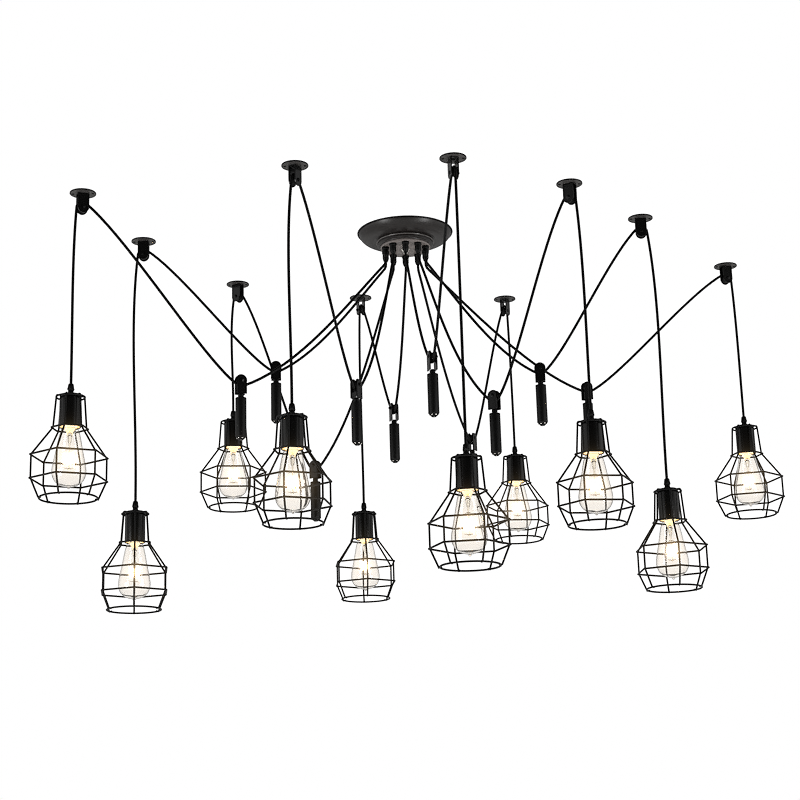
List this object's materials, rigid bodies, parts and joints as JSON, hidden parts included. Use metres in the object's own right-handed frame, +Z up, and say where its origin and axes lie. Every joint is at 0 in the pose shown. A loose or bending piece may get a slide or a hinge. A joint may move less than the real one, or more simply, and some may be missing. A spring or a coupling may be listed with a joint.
{
  "type": "chandelier",
  "caption": "Black pulley chandelier: wire-caged lamps hang on cords that run from a round canopy under hanging weights and over ceiling hooks.",
  "frame": {"origin": "on the ceiling, at the canopy's axis, on the top face of the ceiling bar", "axes": "+Z up to the ceiling's normal, +X to the right and +Y away from the viewer in the picture"},
  "size_m": [1.4838, 1.0026, 0.7623],
  "materials": {
    "canopy_shell": "satin",
    "grip_plate": "satin",
    "ceiling_bar": "satin",
    "terminal_block": "satin",
    "nut_washer": "satin",
    "cap_nut": "polished",
    "cords": "matte",
    "hook_01": "satin",
    "hook_02": "satin",
    "hook_03": "satin",
    "hook_04": "satin",
    "hook_05": "satin",
    "hook_06": "satin",
    "hook_07": "satin",
    "hook_08": "satin",
    "hook_09": "satin",
    "hook_10": "satin",
    "lamp_01": "satin",
    "weight_01": "satin",
    "hook_wheel_01": "satin",
    "weight_wheel_01": "satin",
    "lamp_02": "satin",
    "weight_02": "satin",
    "hook_wheel_02": "satin",
    "weight_wheel_02": "satin",
    "lamp_03": "satin",
    "weight_03": "satin",
    "hook_wheel_03": "satin",
    "weight_wheel_03": "satin",
    "lamp_04": "satin",
    "weight_04": "satin",
    "hook_wheel_04": "satin",
    "weight_wheel_04": "satin",
    "lamp_05": "satin",
    "weight_05": "satin",
    "hook_wheel_05": "satin",
    "weight_wheel_05": "satin",
    "lamp_06": "satin",
    "weight_06": "satin",
    "hook_wheel_06": "satin",
    "weight_wheel_06": "satin",
    "lamp_07": "satin",
    "weight_07": "satin",
    "hook_wheel_07": "satin",
    "weight_wheel_07": "satin",
    "lamp_08": "satin",
    "weight_08": "satin",
    "hook_wheel_08": "satin",
    "weight_wheel_08": "satin",
    "lamp_09": "satin",
    "weight_09": "satin",
    "hook_wheel_09": "satin",
    "weight_wheel_09": "satin",
    "lamp_10": "satin",
    "weight_10": "satin",
    "hook_wheel_10": "satin",
    "weight_wheel_10": "satin"
  },
  "bodies": {
    "canopy": {"canopy_shell": "canopy_shell", "grip_plate": "grip_plate", "ceiling_bar": "ceiling_bar", "terminal_block": "terminal_block", "nut_washer": "nut_washer", "cap_nut": "cap_nut", "cords": "cords", "hook_01": "hook_01", "hook_02": "hook_02", "hook_03": "hook_03", "hook_04": "hook_04", "hook_05": "hook_05", "hook_06": "hook_06", "hook_07": "hook_07", "hook_08": "hook_08", "hook_09": "hook_09", "hook_10": "hook_10"},
    "lamp_01": {"lamp_01": "lamp_01"},
    "weight_01": {"weight_01": "weight_01"},
    "hook_wheel_01": {"hook_wheel_01": "hook_wheel_01"},
    "weight_wheel_01": {"weight_wheel_01": "weight_wheel_01"},
    "lamp_02": {"lamp_02": "lamp_02"},
    "weight_02": {"weight_02": "weight_02"},
    "hook_wheel_02": {"hook_wheel_02": "hook_wheel_02"},
    "weight_wheel_02": {"weight_wheel_02": "weight_wheel_02"},
    "lamp_03": {"lamp_03": "lamp_03"},
    "weight_03": {"weight_03": "weight_03"},
    "hook_wheel_03": {"hook_wheel_03": "hook_wheel_03"},
    "weight_wheel_03": {"weight_wheel_03": "weight_wheel_03"},
    "lamp_04": {"lamp_04": "lamp_04"},
    "weight_04": {"weight_04": "weight_04"},
    "hook_wheel_04": {"hook_wheel_04": "hook_wheel_04"},
    "weight_wheel_04": {"weight_wheel_04": "weight_wheel_04"},
    "lamp_05": {"lamp_05": "lamp_05"},
    "weight_05": {"weight_05": "weight_05"},
    "hook_wheel_05": {"hook_wheel_05": "hook_wheel_05"},
    "weight_wheel_05": {"weight_wheel_05": "weight_wheel_05"},
    "lamp_06": {"lamp_06": "lamp_06"},
    "weight_06": {"weight_06": "weight_06"},
    "hook_wheel_06": {"hook_wheel_06": "hook_wheel_06"},
    "weight_wheel_06": {"weight_wheel_06": "weight_wheel_06"},
    "lamp_07": {"lamp_07": "lamp_07"},
    "weight_07": {"weight_07": "weight_07"},
    "hook_wheel_07": {"hook_wheel_07": "hook_wheel_07"},
    "weight_wheel_07": {"weight_wheel_07": "weight_wheel_07"},
    "lamp_08": {"lamp_08": "lamp_08"},
    "weight_08": {"weight_08": "weight_08"},
    "hook_wheel_08": {"hook_wheel_08": "hook_wheel_08"},
    "weight_wheel_08": {"weight_wheel_08": "weight_wheel_08"},
    "lamp_09": {"lamp_09": "lamp_09"},
    "weight_09": {"weight_09": "weight_09"},
    "hook_wheel_09": {"hook_wheel_09": "hook_wheel_09"},
    "weight_wheel_09": {"weight_wheel_09": "weight_wheel_09"},
    "lamp_10": {"lamp_10": "lamp_10"},
    "weight_10": {"weight_10": "weight_10"},
    "hook_wheel_10": {"hook_wheel_10": "hook_wheel_10"},
    "weight_wheel_10": {"weight_wheel_10": "weight_wheel_10"}
  },
  "joints": [
    {"name": "lamp_01_slide", "type": "slide", "parent": "canopy", "child": "lamp_01", "axis": [0, 0, 1], "range_m": [-0.25, 0.22], "deforming": ["cords"]},
    {"name": "weight_01_slide", "type": "slide", "parent": "canopy", "child": "weight_01", "axis": [0, 0, 1], "range_m": [-0.1602, 0.182]},
    {"name": "hook_wheel_01_turn", "type": "hinge", "parent": "canopy", "child": "hook_wheel_01", "pos_m": [-0.6123, -0.26153, -0.0302], "axis": [0.3985, -0.9172, 0], "continuous": true},
    {"name": "weight_wheel_01_turn", "type": "hinge", "parent": "weight_01", "child": "weight_wheel_01", "pos_m": [-0.32488, -0.13666, -0.34438], "axis": [0.3985, -0.9172, 0], "continuous": true},
    {"name": "lamp_02_slide", "type": "slide", "parent": "canopy", "child": "lamp_02", "axis": [0, 0, 1], "range_m": [-0.25, 0.22], "deforming": ["cords"]},
    {"name": "weight_02_slide", "type": "slide", "parent": "canopy", "child": "weight_02", "axis": [0, 0, 1], "range_m": [-0.163, 0.1852]},
    {"name": "hook_wheel_02_turn", "type": "hinge", "parent": "canopy", "child": "hook_wheel_02", "pos_m": [-0.5388, 0.0081, -0.0302], "axis": [0.0104, -0.9999, 0], "continuous": true},
    {"name": "weight_wheel_02_turn", "type": "hinge", "parent": "weight_02", "child": "weight_wheel_02", "pos_m": [-0.26856, 0.01092, -0.27667], "axis": [0.0104, -0.9999, 0], "continuous": true},
    {"name": "lamp_03_slide", "type": "slide", "parent": "canopy", "child": "lamp_03", "axis": [0, 0, 1], "range_m": [-0.25, 0.22], "deforming": ["cords"]},
    {"name": "weight_03_slide", "type": "slide", "parent": "canopy", "child": "weight_03", "axis": [0, 0, 1], "range_m": [-0.1258, 0.1429]},
    {"name": "hook_wheel_03_turn", "type": "hinge", "parent": "canopy", "child": "hook_wheel_03", "pos_m": [-0.37402, 0.29745, -0.0302], "axis": [-0.6016, -0.7988, 0], "continuous": true},
    {"name": "weight_wheel_03_turn", "type": "hinge", "parent": "weight_03", "child": "weight_wheel_03", "pos_m": [-0.20037, 0.16666, -0.4487], "axis": [-0.6016, -0.7988, 0], "continuous": true},
    {"name": "lamp_04_slide", "type": "slide", "parent": "canopy", "child": "lamp_04", "axis": [0, 0, 1], "range_m": [-0.25, 0.22], "deforming": ["cords"]},
    {"name": "weight_04_slide", "type": "slide", "parent": "canopy", "child": "weight_04", "axis": [0, 0, 1], "range_m": [-0.1276, 0.145]},
    {"name": "hook_wheel_04_turn", "type": "hinge", "parent": "canopy", "child": "hook_wheel_04", "pos_m": [-0.20138, -0.36743, -0.0302], "axis": [0.8838, -0.4679, 0], "continuous": true},
    {"name": "weight_wheel_04_turn", "type": "hinge", "parent": "weight_04", "child": "weight_wheel_04", "pos_m": [-0.10197, -0.17966, -0.37143], "axis": [0.8838, -0.4679, 0], "continuous": true},
    {"name": "lamp_05_slide", "type": "slide", "parent": "canopy", "child": "lamp_05", "axis": [0, 0, 1], "range_m": [-0.25, 0.22], "deforming": ["cords"]},
    {"name": "weight_05_slide", "type": "slide", "parent": "canopy", "child": "weight_05", "axis": [0, 0, 1], "range_m": [-0.1334, 0.1516]},
    {"name": "hook_wheel_05_turn", "type": "hinge", "parent": "canopy", "child": "hook_wheel_05", "pos_m": [-0.10388, 0.41797, -0.0302], "axis": [-0.9637, -0.267, 0], "continuous": true},
    {"name": "weight_wheel_05_turn", "type": "hinge", "parent": "weight_05", "child": "weight_wheel_05", "pos_m": [-0.03342, 0.16365, -0.3302], "axis": [-0.9637, -0.267, 0], "continuous": true},
    {"name": "lamp_06_slide", "type": "slide", "parent": "canopy", "child": "lamp_06", "axis": [0, 0, 1], "range_m": [-0.25, 0.22], "deforming": ["cords"]},
    {"name": "weight_06_slide", "type": "slide", "parent": "canopy", "child": "weight_06", "axis": [0, 0, 1], "range_m": [-0.1305, 0.1482]},
    {"name": "hook_wheel_06_turn", "type": "hinge", "parent": "canopy", "child": "hook_wheel_06", "pos_m": [0.0897, -0.3822, -0.0302], "axis": [0.9668, 0.2557, 0], "continuous": true},
    {"name": "weight_wheel_06_turn", "type": "hinge", "parent": "weight_06", "child": "weight_wheel_06", "pos_m": [0.04284, -0.205, -0.32692], "axis": [0.9668, 0.2557, 0], "continuous": true},
    {"name": "lamp_07_slide", "type": "slide", "parent": "canopy", "child": "lamp_07", "axis": [0, 0, 1], "range_m": [-0.25, 0.22], "deforming": ["cords"]},
    {"name": "weight_07_slide", "type": "slide", "parent": "canopy", "child": "weight_07", "axis": [0, 0, 1], "range_m": [-0.1355, 0.1539]},
    {"name": "hook_wheel_07_turn", "type": "hinge", "parent": "canopy", "child": "hook_wheel_07", "pos_m": [0.22965, 0.45593, -0.0302], "axis": [-0.8997, 0.4366, 0], "continuous": true},
    {"name": "weight_wheel_07_turn", "type": "hinge", "parent": "weight_07", "child": "weight_wheel_07", "pos_m": [0.13186, 0.25442, -0.37843], "axis": [-0.8997, 0.4366, 0], "continuous": true},
    {"name": "lamp_08_slide", "type": "slide", "parent": "canopy", "child": "lamp_08", "axis": [0, 0, 1], "range_m": [-0.25, 0.22], "deforming": ["cords"]},
    {"name": "weight_08_slide", "type": "slide", "parent": "canopy", "child": "weight_08", "axis": [0, 0, 1], "range_m": [-0.1247, 0.1416]},
    {"name": "hook_wheel_08_turn", "type": "hinge", "parent": "canopy", "child": "hook_wheel_08", "pos_m": [0.31605, -0.2418, -0.0302], "axis": [0.58, 0.8146, 0], "continuous": true},
    {"name": "weight_wheel_08_turn", "type": "hinge", "parent": "weight_08", "child": "weight_wheel_08", "pos_m": [0.16082, -0.13129, -0.38813], "axis": [0.58, 0.8146, 0], "continuous": true},
    {"name": "lamp_09_slide", "type": "slide", "parent": "canopy", "child": "lamp_09", "axis": [0, 0, 1], "range_m": [-0.25, 0.22], "deforming": ["cords"]},
    {"name": "weight_09_slide", "type": "slide", "parent": "canopy", "child": "weight_09", "axis": [0, 0, 1], "range_m": [-0.1449, 0.1646]},
    {"name": "hook_wheel_09_turn", "type": "hinge", "parent": "canopy", "child": "hook_wheel_09", "pos_m": [0.47835, -0.0444, -0.0302], "axis": [0.0709, 0.9975, 0], "continuous": true},
    {"name": "weight_wheel_09_turn", "type": "hinge", "parent": "weight_09", "child": "weight_wheel_09", "pos_m": [0.2606, -0.02891, -0.30664], "axis": [0.0709, 0.9975, 0], "continuous": true},
    {"name": "lamp_10_slide", "type": "slide", "parent": "canopy", "child": "lamp_10", "axis": [0, 0, 1], "range_m": [-0.25, 0.22], "deforming": ["cords"]},
    {"name": "weight_10_slide", "type": "slide", "parent": "canopy", "child": "weight_10", "axis": [0, 0, 1], "range_m": [-0.1897, 0.2155]},
    {"name": "hook_wheel_10_turn", "type": "hinge", "parent": "canopy", "child": "hook_wheel_10", "pos_m": [0.70792, 0.26625, -0.0302], "axis": [-0.3546, 0.935, 0], "continuous": true},
    {"name": "weight_wheel_10_turn", "type": "hinge", "parent": "weight_10", "child": "weight_wheel_10", "pos_m": [0.37129, 0.13859, -0.30337], "axis": [-0.3546, 0.935, 0], "continuous": true}
  ],
  "couplings": [
    {"joint": "weight_01_slide", "follows": "lamp_01_slide", "ratio": -0.72608},
    {"joint": "hook_wheel_01_turn", "follows": "lamp_01_slide", "rad_per_m": -87.336},
    {"joint": "weight_wheel_01_turn", "follows": "lamp_01_slide", "rad_per_m": 42.439},
    {"joint": "weight_02_slide", "follows": "lamp_02_slide", "ratio": -0.73862},
    {"joint": "hook_wheel_02_turn", "follows": "lamp_02_slide", "rad_per_m": -87.336},
    {"joint": "weight_wheel_02_turn", "follows": "lamp_02_slide", "rad_per_m": 43.868},
    {"joint": "weight_03_slide", "follows": "lamp_03_slide", "ratio": -0.56966},
    {"joint": "hook_wheel_03_turn", "follows": "lamp_03_slide", "rad_per_m": -87.336},
    {"joint": "weight_wheel_03_turn", "follows": "lamp_03_slide", "rad_per_m": 43.185},
    {"joint": "weight_04_slide", "follows": "lamp_04_slide", "ratio": -0.57792},
    {"joint": "hook_wheel_04_turn", "follows": "lamp_04_slide", "rad_per_m": -87.336},
    {"joint": "weight_wheel_04_turn", "follows": "lamp_04_slide", "rad_per_m": 44.489},
    {"joint": "weight_05_slide", "follows": "lamp_05_slide", "ratio": -0.6043},
    {"joint": "hook_wheel_05_turn", "follows": "lamp_05_slide", "rad_per_m": -87.336},
    {"joint": "weight_wheel_05_turn", "follows": "lamp_05_slide", "rad_per_m": 47.71},
    {"joint": "weight_06_slide", "follows": "lamp_06_slide", "ratio": -0.59078},
    {"joint": "hook_wheel_06_turn", "follows": "lamp_06_slide", "rad_per_m": -87.336},
    {"joint": "weight_wheel_06_turn", "follows": "lamp_06_slide", "rad_per_m": 43.439},
    {"joint": "weight_07_slide", "follows": "lamp_07_slide", "ratio": -0.61368},
    {"joint": "hook_wheel_07_turn", "follows": "lamp_07_slide", "rad_per_m": -87.336},
    {"joint": "weight_wheel_07_turn", "follows": "lamp_07_slide", "rad_per_m": 42.258},
    {"joint": "weight_08_slide", "follows": "lamp_08_slide", "ratio": -0.5645},
    {"joint": "hook_wheel_08_turn", "follows": "lamp_08_slide", "rad_per_m": -87.336},
    {"joint": "weight_wheel_08_turn", "follows": "lamp_08_slide", "rad_per_m": 43.818},
    {"joint": "weight_09_slide", "follows": "lamp_09_slide", "ratio": -0.65653},
    {"joint": "hook_wheel_09_turn", "follows": "lamp_09_slide", "rad_per_m": -87.336},
    {"joint": "weight_wheel_09_turn", "follows": "lamp_09_slide", "rad_per_m": 42.336},
    {"joint": "weight_10_slide", "follows": "lamp_10_slide", "ratio": -0.85994},
    {"joint": "hook_wheel_10_turn", "follows": "lamp_10_slide", "rad_per_m": -87.336},
    {"joint": "weight_wheel_10_turn", "follows": "lamp_10_slide", "rad_per_m": 41.94}
  ]
}
